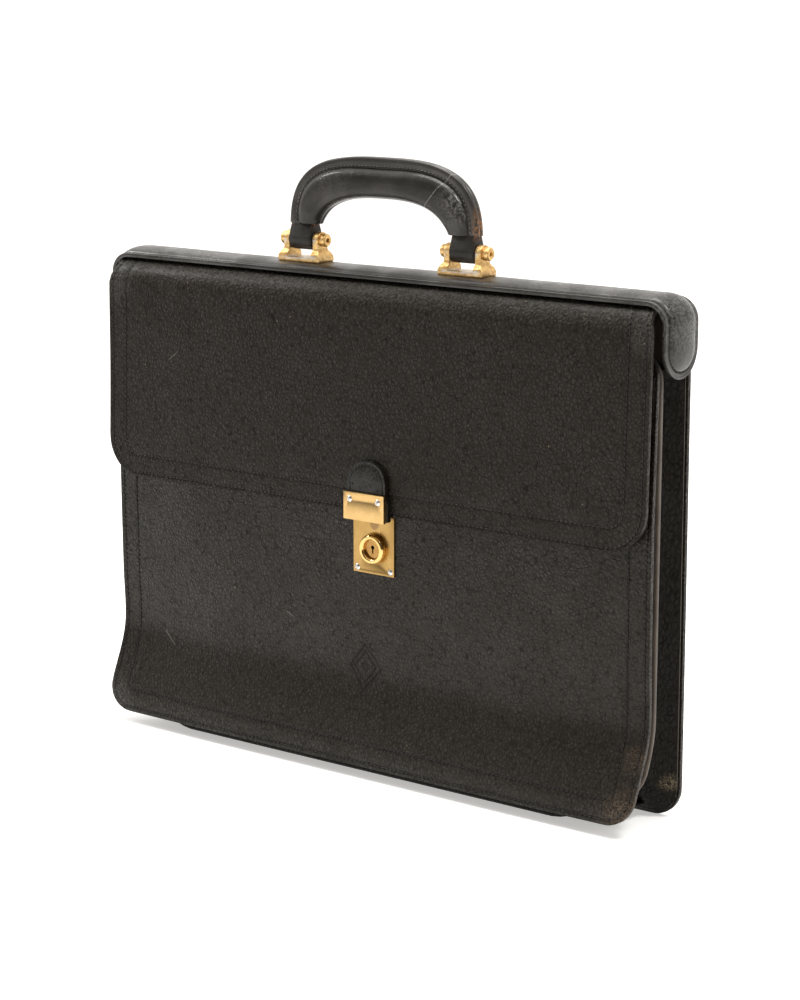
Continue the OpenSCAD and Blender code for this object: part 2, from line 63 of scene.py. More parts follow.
# An edge that a gusset is sewn to: half width, top, foot, corner radius, length along the foot
REAR_EDGE, DIVIDER_EDGE, FRONT_EDGE = (
    (198.4, 262, 0.9, 17, 14), (197.6, 262, 20.4, 17, 14), (198.4, 262, 9.2, 17, 14))


# ---------------------------------------------------------------- bench tools

def leave_alone():
    """Nothing selected, and out of edit mode."""
    if bpy.context.mode != "OBJECT":
        bpy.ops.object.mode_set(mode="OBJECT")
    bpy.ops.object.select_all(action="DESELECT")


def take(obj):
    """Only this piece in hand."""
    leave_alone()
    obj.select_set(True)
    bpy.context.view_layer.objects.active = obj
    return obj


@contextmanager
def edited(obj):
    """Works on all of a piece's mesh."""
    take(obj)
    bpy.ops.object.mode_set(mode="EDIT")
    bpy.ops.mesh.select_all(action="SELECT")
    yield
    bpy.ops.object.mode_set(mode="OBJECT")


def named(name):
    obj = bpy.context.active_object
    obj.name = obj.data.name = name
    return obj


def points(obj):
    flat = np.empty(len(obj.data.vertices) * 3)
    obj.data.vertices.foreach_get("co", flat)
    return flat.reshape(-1, 3)


def form(obj, shape):
    """Presses a piece over its form: shape gives new places for the points' x, y and z."""
    x, y, z = points(obj).T
    obj.data.vertices.foreach_set("co", np.stack(shape(x, y, z), axis=1).ravel())
    obj.data.update()
    return obj


def modify(obj, kind, **settings):
    take(obj)
    m = obj.modifiers.new(kind.lower(), kind)
    for key, value in settings.items():
        setattr(m, key, value)
    bpy.ops.object.modifier_apply(modifier=m.name)
    return obj


def round_edges(obj, width, segments=2, angle=50):
    return modify(obj, "BEVEL", width=width, segments=segments, limit_method="ANGLE",
                  angle_limit=math.radians(angle), use_clamp_overlap=True)


def smooth(obj, angle=40):
    take(obj)
    bpy.ops.object.shade_smooth_by_angle(angle=math.radians(angle))
    return obj


def face_outward(obj):
    with edited(obj):
        bpy.ops.mesh.normals_make_consistent(inside=False)
    return obj


def dress(obj, body, slot, *finishes):
    """Gives a piece its finishes and the body it rides on; its slot is not used."""
    for finish in finishes:
        obj.data.materials.append(finish)
    if body:
        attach(obj, body)
    return obj


def flat_cut(name, cols, rows):
    """A flat cut of leather: a grid whose lines stand at the given places across and along."""
    leave_alone()
    bpy.ops.mesh.primitive_grid_add(x_subdivisions=len(cols) - 1, y_subdivisions=len(rows) - 1, size=1)
    obj = named(name)
    even_x, even_y = np.linspace(-0.5, 0.5, len(cols)), np.linspace(-0.5, 0.5, len(rows))
    return form(obj, lambda x, y, z: (np.interp(x, even_x, cols), np.interp(y, even_y, rows), z))


def spaced(low, high, step, low_marks, high_marks):
    """Places from low to high, close together at the marks in from either end."""
    a = [low + m for m in low_marks]
    b = [high - m for m in high_marks]
    n = max(1, round((b[-1] - a[-1]) / step))
    return np.array(a[:-1] + list(np.linspace(a[-1], b[-1], n + 1)) + b[:-1][::-1])


def along(profile, t):
    """Places on a line of points, t from 0 at its start to 1 at its end."""
    run = np.linspace(0, 1, len(profile))
    return [np.interp(t, run, column) for column in np.transpose(profile)]


def rounded(x, z, half, low, high, r_low, r_high):
    """Turns a square-cornered cut round at its corners."""
    side, ax = np.where(x < 0, -1.0, 1.0), np.abs(x)
    for r, centre, up in ((r_low, low + r_low, -1), (r_high, high - r_high, 1)):
        a, b = (ax - half + r) / r, up * (z - centre) / r
        inside = (a > 1e-6) & (b > 1e-6)
        reach = np.maximum(a, b)
        turn = np.where(a >= b, 45 * b / np.where(a == 0, 1, a), 90 - 45 * a / np.where(b == 0, 1, b))
        ax = np.where(inside, half - r + r * reach * np.cos(np.radians(turn)), ax)
        z = np.where(inside, centre + up * r * reach * np.sin(np.radians(turn)), z)
    return side * ax, z


def ease(t):
    t = np.clip(t, 0, 1)
    return (1 - np.cos(np.pi * t)) / 2


def bell(d, middle, width):
    return np.exp(-(((d - middle) / width) ** 2))


# ---------------------------------------------------------------- finishes

class Num:
    """A number that varies over a finish, and takes part in ordinary sums."""

    def __init__(self, finish, socket):
        self.finish, self.socket = finish, socket

    def sum(self, operation, *values):
        return Num(self.finish, self.finish.node(
            "ShaderNodeMath", {"operation": operation}, dict(enumerate(values))).outputs[0])

    def __add__(self, other): return self.sum("ADD", self, other)
    def __sub__(self, other): return self.sum("SUBTRACT", self, other)
    def __rsub__(self, other): return self.sum("SUBTRACT", other, self)
    def __mul__(self, other): return self.sum("MULTIPLY", self, other)
    def __truediv__(self, other): return self.sum("DIVIDE", self, other)
    def __pow__(self, other): return self.sum("POWER", self, other)
    def __abs__(self): return self.sum("ABSOLUTE", self)
    __radd__, __rmul__ = __add__, __mul__

    def least(self, other): return self.sum("MINIMUM", self, other)


class Nodes:
    """The nodes of a material or a world."""

    def __init__(self, owner):
        owner.use_nodes = True
        self.tree = owner.node_tree
        self.tree.nodes.clear()

    def node(self, kind, settings=None, inputs=None):
        n = self.tree.nodes.new(kind)
        for key, value in (settings or {}).items():
            setattr(n, key, value)
        for key, value in (inputs or {}).items():
            value = value.socket if isinstance(value, Num) else value
            if isinstance(value, bpy.types.NodeSocket):
                self.tree.links.new(value, n.inputs[key])
            else:
                n.inputs[key].default_value = value
        return n


class Finish(Nodes):
    """One material: its nodes, the place on the piece in millimetres, and its shader."""

    def __init__(self, name):
        self.material = bpy.data.materials.new(name)
        super().__init__(self.material)
        coords = self.node("ShaderNodeTexCoord").outputs["Object"]
        self.place = self.node("ShaderNodeVectorMath", {"operation": "SCALE"},
                               {0: coords, "Scale": 1000.0}).outputs[0]
        self.x, self.y, self.z = (Num(self, s) for s in self.node(
            "ShaderNodeSeparateXYZ", {}, {0: self.place}).outputs[:3])

    def noise(self, size, detail=2.0, rough=0.5, at=None):
        """Soft random spots about size millimetres across."""
        n = self.node("ShaderNodeTexNoise", {}, {
            "Vector": at or self.place, "Scale": 1.0 / size, "Detail": detail, "Roughness": rough})
        return Num(self, n.outputs[0])

    def warp(self, size, amount, at=None):
        """The place, pushed about by soft random steps."""
        at = at or self.place
        n = self.node("ShaderNodeTexNoise", {}, {"Vector": at, "Scale": 1.0 / size, "Detail": 2.0})
        middle = self.node("ShaderNodeVectorMath", {"operation": "SUBTRACT"},
                           {0: n.outputs[1], 1: (0.5, 0.5, 0.5)}).outputs[0]
        push = self.node("ShaderNodeVectorMath", {"operation": "SCALE"},
                         {0: middle, "Scale": amount}).outputs[0]
        return self.node("ShaderNodeVectorMath", {"operation": "ADD"}, {0: at, 1: push}).outputs[0]

    def stretch(self, factors, at=None):
        return self.node("ShaderNodeVectorMath", {"operation": "MULTIPLY"},
                         {0: at or self.place, 1: factors}).outputs[0]

    def cells(self, size, feature="DISTANCE_TO_EDGE", at=None):
        n = self.node("ShaderNodeTexVoronoi", {"feature": feature}, {
            "Vector": at or self.place, "Scale": 1.0 / size})
        return Num(self, n.outputs["Distance"])

    def step(self, value, low, high):
        """0 at low, 1 at high, eased between them."""
        n = self.node("ShaderNodeMapRange", {"interpolation_type": "SMOOTHSTEP"}, {
            "Value": value, "From Min": low, "From Max": high})
        return Num(self, n.outputs[0])

    def line(self, value, at, width):
        """1 on a line where value is at, 0 further than width from it."""
        return self.step(abs(value - at), width, 0.25 * width)

    def mix(self, share, a, b):
        n = self.node("ShaderNodeMix", {"data_type": "RGBA"}, {0: share})
        for index, colour in ((6, a), (7, b)):
            if isinstance(colour, bpy.types.NodeSocket):
                self.tree.links.new(colour, n.inputs[index])
            else:
                n.inputs[index].default_value = (*colour, 1)
        return n.outputs[2]

    def scratch(self, x0, z0, x1, z1, width):
        """A thin straight scratch between two places seen from the front."""
        dx, dz = x1 - x0, z1 - z0
        long = math.hypot(dx, dz)
        along = ((self.x - x0) * dx + (self.z - z0) * dz) / long
        off = abs((self.x - x0) * (dz / long) - (self.z - z0) * (dx / long))
        run = self.step(along, 0, 2) * self.step(along, long, long - 3)
        return self.step(off, width, 0.3 * width) * run * self.step(self.noise(1.6), 0.3, 0.5)

    def done(self, colour, rough, bump=None, depth=0.3, metal=0.0, **constants):
        inputs = {"Roughness": rough, "Metallic": metal, **constants}
        if bump is not None:
            inputs["Normal"] = self.node("ShaderNodeBump", {}, {
                "Height": bump, "Distance": depth * MM, "Strength": 1.0}).outputs[0]
        shader = self.node("ShaderNodeBsdfPrincipled", {}, inputs)
        if isinstance(colour, bpy.types.NodeSocket):
            self.tree.links.new(colour, shader.inputs["Base Color"])
        else:
            shader.inputs["Base Color"].default_value = (*colour, 1)
        self.tree.links.new(shader.outputs[0], self.node("ShaderNodeOutputMaterial").inputs[0])
        return self.material


def pebbled_leather(name, grain=2.5, tall=0.95, dark=(0.0075, 0.0055, 0.0035),
                    pale=(0.014, 0.011, 0.0075), shine=0.34, level=0.16, spots=(), dusty=None,
                    lines=None, emboss=None, scratches=()):
    """Black pebble-grained cowhide: domed cells with a painted highlight on their tops, creases darkened
    with painted shade, soft sags, dust, scuffs and specks.
    """
    f = Finish(name)
    bent = f.stretch((1.0, 1.0, tall), f.warp(5.0, 2.2))
    edge = f.cells(grain, at=bent)
    dome = f.step(edge, 0.0, 0.46)
    crease = f.step(edge, 0.17, 0.0)
    deep = f.step(f.noise(3.2, 3.0, 0.6), 0.42, 0.66)
    ripple = f.noise(2.6, 2.0, 0.5, f.stretch((1.0, 1.0, 0.7)))
    sag = f.noise(34.0, 2.0)
    wear = f.step(f.noise(26.0, 4.0, 0.62), 0.38, 0.72)
    height = dome * (0.3 + deep * 0.7) + ripple * 0.7 + sag * 1.6
    # Painted highlight: the cell tops are painted paler, more so in the worn patches.
    colour = f.mix(dome * (0.5 + wear * 0.35), dark, pale)
    # Painted shade: the creases between the cells are painted near black.
    colour = f.mix(crease * (0.35 + deep * 0.5), colour, (0.0016, 0.0012, 0.0008))
    roughness = 0.47 - wear * 0.05 + crease * deep * 0.2
    coat = (1 - crease * (0.45 + deep * 0.5)) * (0.75 + wear * 0.25) * shine
    if lines is not None:
        dent = lines(f)
        height = height - dent * 0.6
        # Painted shade: the seam lines are painted darker.
        colour = f.mix(dent * 0.5, colour, (0.004, 0.0035, 0.003))
        coat = coat * (1 - dent * 0.6)
    if emboss is not None:
        press = emboss(f)
        height = height - press * 1.8
        colour = f.mix(press * 0.6, colour, (0.0035, 0.003, 0.002))
        coat = coat * (1 - press * 0.75)
    if dusty is not None:
        mask = dusty(f) * f.step(f.noise(1.5, 4.0, 0.7), 0.42, 0.72)
        colour = f.mix(mask * 0.4, colour, (0.085, 0.08, 0.07))
    for x, z, reach, strength, tone in spots:
        away = ((f.x - x) ** 2 + (f.z - z) ** 2) ** 0.5
        mask = f.step(away, reach, reach * 0.2) * f.step(f.noise(1.1, 4.0, 0.75), 0.42, 0.66)
        colour = f.mix(mask * strength, colour, tone)
        roughness = roughness + mask * 0.1
        coat = coat * (1 - mask * 0.5)
    for x0, z0, x1, z1, width in scratches:
        mask = f.scratch(x0, z0, x1, z1, width)
        colour = f.mix(mask * 0.75, colour, (0.20, 0.18, 0.15))
    speck = f.step(f.cells(13.0, "F1"), 0.04, 0.02) * f.step(f.noise(24.0), 0.5, 0.56)
    colour = f.mix(speck * 0.8, colour, (0.24, 0.18, 0.11))
    return f.done(colour, roughness, height, 0.75, **{
        "Specular IOR Level": level, "Specular Tint": (1.0, 0.90, 0.76, 1),
        "Coat Weight": coat, "Coat Roughness": 0.30})


def edge_paint(name, amount=0.3):
    """Painted and burnished cut edge, rubbed back to brown leather in places."""
    f = Finish(name)
    rub = f.step(f.noise(7.0, 4.0, 0.65), 0.56, 0.72) * amount
    fibre = f.noise(0.45, 3.0)
    colour = f.mix(rub, (0.012, 0.0105, 0.009), (0.11, 0.08, 0.055))
    return f.done(colour, 0.32 + fibre * 0.2 + rub * 0.2, fibre + f.noise(4.0) * 0.6, 0.12,
                  **{"Specular IOR Level": 0.6})


def fine_leather(name, dark=(0.0095, 0.0085, 0.0075), pale=(0.024, 0.022, 0.020), rough=0.40,
                 coat_rough=0.24, shine=0.8, wear_and_highlight_patches=(), scratches=(), browned=None):
    """Smooth calf with a fine printed grain, rubbed shiny and grey by hands; the listed patches are rubbed
    wear with a painted highlight.
    """
    f = Finish(name)
    print_grain = f.step(f.cells(1.25, at=f.warp(2.5, 0.7)), 0.0, 0.3)
    rub = f.step(f.noise(30.0, 3.0, 0.6), 0.40, 0.68)
    smear = f.noise(5.0, 3.0, 0.6)
    height = print_grain * 0.55 + f.noise(2.4, 2.0) * 0.5 + f.noise(14.0) * 2.0
    colour = f.mix(rub * 0.6 + (smear - 0.5) * 0.4, dark, pale)
    roughness = rough + (smear - 0.5) * 0.2 - rub * 0.05
    coat = (0.5 + rub * 0.5 - (1 - print_grain) * 0.25) * shine
    # Partly rubbed wear, partly painted highlight: each listed patch is painted pale grey and made smoother.
    for x, z, reach, strength in wear_and_highlight_patches:
        away = ((f.x - x) ** 2 + (f.z - z) ** 2) ** 0.5
        mask = f.step(away, reach, reach * 0.2) * f.step(f.noise(2.0, 4.0, 0.75), 0.44, 0.64)
        colour = f.mix(mask * strength, colour, (0.15, 0.145, 0.135))
        height = height - mask * 0.9
        roughness = roughness - mask * 0.12
    for x0, z0, x1, z1, width in scratches:
        colour = f.mix(f.scratch(x0, z0, x1, z1, width) * 0.75, colour, (0.34, 0.32, 0.29))
    if browned is not None:
        mask = browned(f) * f.step(f.noise(1.8, 4.0, 0.7), 0.40, 0.62)
        colour = f.mix(mask * 0.85, colour, (0.27, 0.12, 0.04))
    return f.done(colour, roughness, height, 0.13, **{
        "Specular IOR Level": 0.22, "Specular Tint": (1.0, 0.94, 0.86, 1),
        "Coat Weight": coat, "Coat Roughness": coat_rough})


def suede(name):
    """Brushed suede lining with nap lying in patches."""
    f = Finish(name)
    nap = f.noise(0.5, 4.0, 0.75)
    lay = f.step(f.noise(22.0, 3.0, 0.6), 0.38, 0.66)
    colour = f.mix(nap * 0.5 + lay * 0.5, (0.045, 0.034, 0.025), (0.09, 0.07, 0.052))
    return f.done(colour, 0.92 - nap * 0.08, nap + lay * 0.4, 0.15, **{
        "Specular IOR Level": 0.15, "Sheen Weight": 0.25, "Sheen Roughness": 0.5})


def waxed_thread(name, tone, pale, dusty=0.3):
    f = Finish(name)
    ply = f.noise(0.5, 2.0, 0.6)
    grime = f.step(f.noise(26.0, 3.0), 0.45, 0.7) * dusty
    return f.done(f.mix(ply * 0.4 + grime, tone, pale), 0.55, ply, 0.08, **{"Specular IOR Level": 0.35})


def brushed_brass(name, bright, deep, rough=0.30, brush=(0.04, 1.0, 1.0), mark=None, pitted=0.25):
    """Lacquered brass with fine brush lines, small tarnish spots and a dull bloom."""
    f = Finish(name)
    lines = f.noise(0.16, 3.0, 0.6, f.stretch(brush))
    bloom = f.noise(6.0, 3.0, 0.6)
    dots = f.step(f.noise(0.9, 3.0, 0.7), 0.64, 0.74) * pitted
    colour = f.mix(bloom * 0.8 + lines * 0.3, bright, deep)
    colour = f.mix(dots, colour, (0.24, 0.14, 0.06))
    roughness = rough + (lines - 0.5) * 0.16 + (bloom - 0.5) * 0.14 + dots * 0.3
    if mark is not None:
        stain = mark(f)
        colour = f.mix(stain * 0.85, colour, (0.30, 0.19, 0.085))
        roughness = roughness + stain * 0.22
    return f.done(colour, roughness, lines * 0.7 + bloom * 0.5 - dots, 0.02, metal=1.0)


def cast_brass(name, grey=(0.62, 0.60, 0.56)):
    """Gilt casting: grainy skin, brown in the hollows, its rubbed ridges worn to pale metal."""
    f = Finish(name)
    skin = f.noise(0.55, 4.0, 0.7)
    blotch = f.step(f.noise(2.6, 4.0, 0.7), 0.40, 0.66)
    colour = f.mix(blotch * 0.8, (0.80, 0.54, 0.23), (0.48, 0.27, 0.09))
    ridge = f.node("ShaderNodeNewGeometry").outputs["Pointiness"]
    rubbed = f.step(Num(f, ridge), 0.53, 0.60) * f.step(f.noise(2.0, 3.0), 0.3, 0.55)
    hollow = f.step(Num(f, ridge), 0.47, 0.42)
    colour = f.mix(rubbed * 0.8, colour, grey)
    colour = f.mix(hollow * 0.7, colour, (0.13, 0.075, 0.03))
    roughness = 0.32 + skin * 0.2 + blotch * 0.1 - rubbed * 0.12
    return f.done(colour, roughness, skin * 0.8 + blotch * 0.5, 0.07, metal=1.0)


def plated_steel(name, tone=(0.74, 0.73, 0.71), dark=(0.40, 0.38, 0.36), rough=0.22):
    f = Finish(name)
    fog = f.noise(1.4, 4.0, 0.7)
    return f.done(f.mix(f.step(fog, 0.35, 0.75), tone, dark), rough + fog * 0.15, fog, 0.015, metal=1.0)


# ---------------------------------------------------------------- stitches

def sewn_line(name, places, outward, body, thread, slot, pitch=3.0, long=2.2, thick=0.68):
    """A row of stitches along a line of places, lying on the side that outward points to."""
    places, outward = np.asarray(places, float), np.asarray(outward, float)
    run = np.concatenate([[0], np.cumsum(np.linalg.norm(np.diff(places, axis=0), axis=1))])
    count = int(run[-1] // pitch)
    at = (np.arange(count) + 0.5) * run[-1] / count
    middle = np.stack([np.interp(at, run, places[:, k]) for k in range(3)], 1)
    ahead = np.stack([np.interp(at + 0.4, run, places[:, k]) for k in range(3)], 1)
    behind = np.stack([np.interp(at - 0.4, run, places[:, k]) for k in range(3)], 1)
    up = np.stack([np.interp(at, run, outward[:, k]) for k in range(3)], 1)
    along = ahead - behind
    along /= np.linalg.norm(along, axis=1)[:, None]
    up -= along * (up * along).sum(1)[:, None]
    up /= np.linalg.norm(up, axis=1)[:, None]
    across = np.cross(up, along)
    leave_alone()
    bpy.ops.mesh.primitive_uv_sphere_add(segments=6, ring_count=5, radius=1)
    one = named(name)
    proud, lean = 0.18, 0.13
    form(one, lambda x, y, z: (z * long / 2, x * thick / 2, y * thick / 2 + proud * (1 - z * z)))
    stitch = points(one)
    faces = [tuple(p.vertices) for p in one.data.polygons]
    slanted = along + across * lean
    every = (middle[:, None, :] + up[:, None, :] * proud + stitch[None, :, 0:1] * slanted[:, None, :]
             + stitch[None, :, 1:2] * across[:, None, :] + stitch[None, :, 2:3] * up[:, None, :])
    mesh = bpy.data.meshes.new(name)
    n = len(stitch)
    mesh.from_pydata((every.reshape(-1, 3) * MM).tolist(), [],
                     [tuple(v + i * n for v in face) for i in range(count) for face in faces])
    old, one.data = one.data, mesh
    bpy.data.meshes.remove(old)
    mesh.name = name
    take(one)
    bpy.ops.object.shade_smooth()
    return dress(one, body, slot, thread)


def border_line(half, low, high, inset, r_low):
    """The line a seam takes down one side, along the foot and up the other side, inset from the edge."""
    step, r = 2.0, max(r_low - inset, 1.5)
    x, z = half - inset, low + inset
    down = [(-x, t) for t in np.arange(high, z + r, -step)]
    turn = [(-x + r - r * math.cos(a), z + r - r * math.sin(a)) for a in np.linspace(0, math.pi / 2, 9)]
    foot = [(t, z) for t in np.arange(-x + r + step, x - r, step)]
    back = [(-a, b) for a, b in turn[::-1]]
    rise = [(x, t) for t in np.arange(z + r + step, high, step)]
    return np.array(down + turn + foot + back + rise)


def on_form(place, line, lift=0.0):
    """Places and outward directions on a formed sheet, for a line drawn on its flat cut."""
    a, b = line[:, 0], line[:, 1]
    here = np.stack(place(a, b, np.full_like(a, -lift)), 1)
    over = np.stack(place(a, b, np.full_like(a, -lift - 0.5)), 1)
    return here, over - here


def border_seams(part, place, half, low, high, corner, body, ink):
    """The two rows of stitches along a sheet's sides and foot. Rows with no body are left unattached, with
    their transform baked in.
    """
    for row, inset in (("edge", EDGE_SEAM), ("border", BORDER_SEAM)):
        line = border_line(half, low, high, inset, corner)
        seam = sewn_line(f"{part}_{row}_stitches", *on_form(place, line, -0.2), body, ink["thread"],
                         "grained_leather")
        if body is None:
            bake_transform(seam)


# ---------------------------------------------------------------- forms of the sheets

def flare(z):
    return ease((FLARE_TOP - z) / (FLARE_TOP - FRONT_FOOT))


def towards_side(x):
    return ease((np.abs(x) - 110) / 90)


def front_form(x, z, depth):
    """Front panel: set back towards its side edges, pinched above the foot, flared below."""
    face = FRONT_Y - FLARE_OUT * flare(z) + 2.5 * np.maximum(0, z - LEAN_FROM) / (FRONT_TOP - LEAN_FROM)
    side = towards_side(x)
    face = face + 2.9 * side * (1 - 0.75 * flare(z))
    belly = -0.9 * bell(z, 120, 60) * (1 - side) + 0.9 * bell(z, 72, 16)
    wave = 0.35 * np.sin(x / 31.0 + 1.1) * np.sin(z / 37.0)
    return x, face + belly + wave + depth, z


def divider_form(x, z, depth):
    face = DIVIDER_Y - FLARE_OUT * flare(z)
    side = towards_side(x)
    return x, face + 1.2 * side * (1 - flare(z)) + depth, z


def back_form(x, z, depth):
    wave = 0.3 * np.sin(x / 47.0) * np.sin(z / 53.0)
    return x, BACK_Y - 1.6 * z / 300.9 - depth - wave * 0.6 - 0.3, z


FLAP_TURN = math.acos((SHOULDER_END - SHOULDER_Y) / SHOULDER_R)
FLAP_ARC = SHOULDER_R * (math.pi - FLAP_TURN)
FLAP_LONG = FLAP_ARC + (SHOULDER_Z - FLAP_EDGE) * math.hypot(1, FLAP_LEAN)


def flap_face(z):
    return SHOULDER_Y - SHOULDER_R - (SHOULDER_Z - z) * FLAP_LEAN


def flap_form(x, s, depth):
    """Flap: s runs up from its lower edge at 0, over the shoulder, to FLAP_LONG under the bar's rim."""
    down = FLAP_LONG - s
    turn = FLAP_TURN + np.clip(down, 0, FLAP_ARC) / SHOULDER_R
    past = np.maximum(0, down - FLAP_ARC) / math.hypot(1, FLAP_LEAN)
    wave = 0.35 * np.sin(x / 43.0 + 0.6) * np.sin(past / 30.0)
    soft = wave + 0.5 * bell(np.abs(x), 200, 18) * ease(past / 60)
    y = SHOULDER_Y + (SHOULDER_R - depth) * np.cos(turn) - past * FLAP_LEAN + soft
    z = SHOULDER_Z + (SHOULDER_R - depth) * np.sin(turn) - past
    narrow = 3.4 * ease((z - 286) / 12) * (np.abs(x) / FLAP_HALF) ** 8
    return x - np.sign(x) * narrow, y, z


# Where a sheet's mesh has its lines, in from the edge: close at the edge and at both seams, or plain
SEWN_MARKS = (0, 0.8, 1.7, 2.4, 3.0, 3.6, 4.6, 7.5, 11, 13.2, 13.7, 14.2, 14.7, 15.4, 20)
PLAIN_MARKS = (0, 1, 3)


def sheet_piece(name, place, half, low, high, r_low, r_high, thick, depth=0.0, groove=None, step=4.5,
                edge=0.55, marks=SEWN_MARKS, flip=False):
    """Cuts a sheet, rounds its corners, sinks its seams, presses it over its form and thickens it."""
    cols = spaced(-half, half, step, marks, marks)
    rows = spaced(low, high, step, marks, (0, 0.8, 1.7))
    obj = flat_cut(name, cols, rows)

    def cut(x, y, z):
        inside = np.minimum(half - np.abs(x), y - low)
        sunk = groove(inside) if groove else 0 * x
        x, y = rounded(x, y, half, low, high, r_low, r_high)
        return [c * MM for c in place(x, y, depth + sunk)]

    form(obj, cut)
    if flip:
        with edited(obj):
            bpy.ops.mesh.flip_normals()
    modify(obj, "SOLIDIFY", thickness=thick * MM, offset=-1, use_even_offset=True,
           material_offset=1, material_offset_rim=2)
    round_edges(obj, edge * MM, 2)
    return smooth(obj, 50)


def sewn_groove(inside):
    """Two seam lines pressed into the border."""
    return 0.30 * bell(inside, EDGE_SEAM, 0.6) + 0.22 * bell(inside, BORDER_SEAM, 0.6)


def seam_lines(f, inside):
    return f.line(inside, EDGE_SEAM, 0.7) * 0.7 + f.line(inside, BORDER_SEAM, 0.65)


def front_seams(f):
    """The two seam lines as shading, on the front and back panels."""
    return seam_lines(f, (PANEL_HALF - abs(f.x)).least(f.z - FRONT_FOOT))


def flap_seams(f):
    return seam_lines(f, FLAP_HALF - abs(f.x)) * f.step(f.z, 190, 196)


def lozenge(f):
    """A plain pressed frame low on the front: one diamond inside another."""
    x, z, half_wide, half_high = 2.0, 66.0, 11.5, 14.0
    away = abs(f.x - x) / half_wide + abs(f.z - z) / half_high
    return f.line(away, 1.0, 0.11) + f.line(away, 0.68, 0.09) + f.step(away, 0.34, 0.26) * 0.8


# ---------------------------------------------------------------- the bag's sheets

def make_finishes():
    brown, grey = (0.15, 0.105, 0.07), (0.17, 0.165, 0.155)
    long_scratch = (27, 337, 56, 370, 0.22)
    upright = (1.0, 1.0, 0.04)

    def above_ring(f):
        """A dull oval on the plate over the ring."""
        away = (((f.x - LOCK_X - 0.6) / 3.7) ** 2 + ((f.z - 156.4) / 4.2) ** 2) ** 0.5
        return f.step(away, 1.0, 0.8)

    return {
        "front": pebbled_leather(
            "front_leather_finish", lines=front_seams, emboss=lozenge, shine=0.30,
            dusty=lambda f: f.step(f.z, 60, 20) * 0.55,
            spots=[(197, 12, 24, 0.75, brown), (-196, 14, 20, 0.55, grey), (196, 45, 12, 0.4, brown)],
            scratches=[(-164, 62, -152, 53, 0.3), (-60, 92, -52, 88, 0.3)]),
        "flap": pebbled_leather(
            "flap_leather_finish", lines=flap_seams, shine=0.22, level=0.12,
            dusty=lambda f: f.step(f.z, 278, 296),
            spots=[(-196, 286, 20, 0.4, grey), (196, 284, 14, 0.3, grey)],
            scratches=[(-150, 240, -141, 247, 0.25)]),
        "back": pebbled_leather("back_leather_finish", lines=front_seams),
        "gusset": pebbled_leather(
            "gusset_leather_finish", grain=2.6, tall=0.6, dark=(0.003, 0.0022, 0.0015),
            pale=(0.0055, 0.0042, 0.003), shine=0.14, level=0.06,
            spots=[(196, 22, 7, 0.6, (0.26, 0.21, 0.13))]),
        "tab": pebbled_leather(
            "tab_leather_finish", grain=2.0, tall=2.4, dark=(0.004, 0.0032, 0.0022),
            pale=(0.008, 0.0062, 0.0045), shine=0.7, level=0.1),
        "bar": fine_leather(
            "bar_leather_finish",
            # Painted highlight: these patches paint a pale sheen on the crown and at the right end, partly
            # wear.
            wear_and_highlight_patches=[(203, 292, 26, 0.45), (150, 305, 80, 0.2), (-150, 305, 70, 0.25)]),
        "handle": fine_leather(
            "handle_leather_finish", rough=0.34, coat_rough=0.15, shine=0.55,
            # Painted highlight: the patches paint the glint on the handle's right shoulder and a faint one
            # at its upper left.
            wear_and_highlight_patches=[(60, 350, 19, 0.85), (-40, 366, 24, 0.2)], scratches=[long_scratch]),
        "handle_edge": fine_leather(
            "handle_flange_finish", dark=(0.016, 0.0145, 0.013), pale=(0.036, 0.033, 0.030), shine=0.8,
            browned=lambda f: f.step(f.x, 64, 69.5) * f.step(f.z, 352, 334), scratches=[long_scratch]),
        "handle_end": fine_leather(
            "handle_end_finish", rough=0.46, coat_rough=0.35, shine=0.25,
            browned=lambda f: f.step(f.z, 325, 331) * f.step(abs(abs(f.x) - PIVOT_X), 6.6, 8.4)),
        "edge": edge_paint("painted_edge"),
        "worn_edge": edge_paint("worn_painted_edge", amount=0.55),
        "suede": suede("suede_lining_finish"),
        "thread": waxed_thread("black_thread", (0.006, 0.0055, 0.005), (0.05, 0.046, 0.04)),
        "dusty_thread": waxed_thread("handle_thread", (0.05, 0.046, 0.04), (0.22, 0.20, 0.175), 0.6),
        "hasp": brushed_brass("hasp_brass", (0.58, 0.396, 0.173), (0.458, 0.29, 0.11), brush=upright),
        "plate": brushed_brass("lock_plate_brass", (0.41, 0.266, 0.098), (0.31, 0.188, 0.061),
                               brush=upright, mark=above_ring),
        "ring": brushed_brass("ring_brass", (0.80, 0.55, 0.23), (0.62, 0.38, 0.13), 0.10, pitted=0.1),
        # Painted shade: a darker copy of the ring's brass for the plug sunk in the ring; the lock button
        # uses it too.
        "plug": brushed_brass("plug_brass_shade_darkened", (0.42, 0.25, 0.085), (0.28, 0.15, 0.045), 0.26),
        "cast": cast_brass("cast_brass_finish"),
        "bolt": cast_brass("bolt_brass_finish", grey=(0.5, 0.46, 0.4)),
        "steel": plated_steel("plated_steel"),
        "blackened": plated_steel("blackened_steel", (0.02, 0.02, 0.02), (0.012, 0.011, 0.01), 0.5),
        "dull_steel": plated_steel("dull_steel", (0.5, 0.49, 0.47), (0.3, 0.28, 0.26), 0.35),
    }


